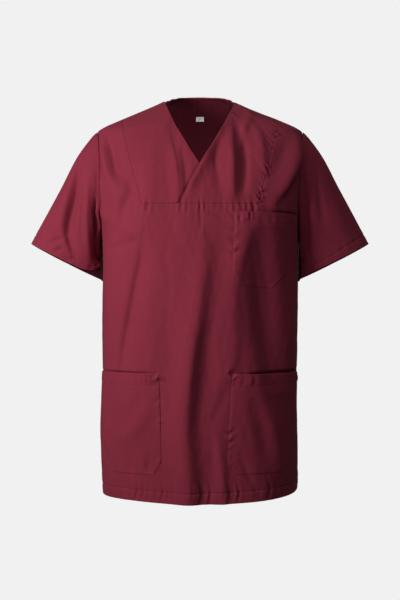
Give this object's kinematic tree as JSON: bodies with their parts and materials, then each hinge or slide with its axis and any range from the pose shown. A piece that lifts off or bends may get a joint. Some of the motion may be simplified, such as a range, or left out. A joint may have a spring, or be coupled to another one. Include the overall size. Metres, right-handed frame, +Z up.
{
  "type": "medical scrub top",
  "caption": "Short-sleeved medical scrub top with an overlapped V-neck, a shoulder yoke, a chest pocket and hip pockets, filled out as worn.",
  "frame": {"origin": "midway between the two points where the shoulder seams meet the neckline, where the wearer's shoulders hold the top", "axes": "+Z up along the body, +Y to the back so that the front faces -Y, +X to the wearer's left"},
  "size_m": [0.6296, 0.2711, 0.746],
  "materials": {
    "burgundy_twill": "matt woven twill with a faint satin sheen",
    "label_white": "smooth woven satin ribbon"
  },
  "bodies": {
    "root": {"front_body": "burgundy_twill", "yoke_left": "burgundy_twill", "yoke_right": "burgundy_twill", "back_body": "burgundy_twill", "sleeve_left": "burgundy_twill", "sleeve_right": "burgundy_twill", "chest_pocket": "burgundy_twill", "hip_pocket_left": "burgundy_twill", "hip_pocket_right": "burgundy_twill", "back_neck_facing": "burgundy_twill", "size_label": "label_white"}
  },
  "joints": []
}
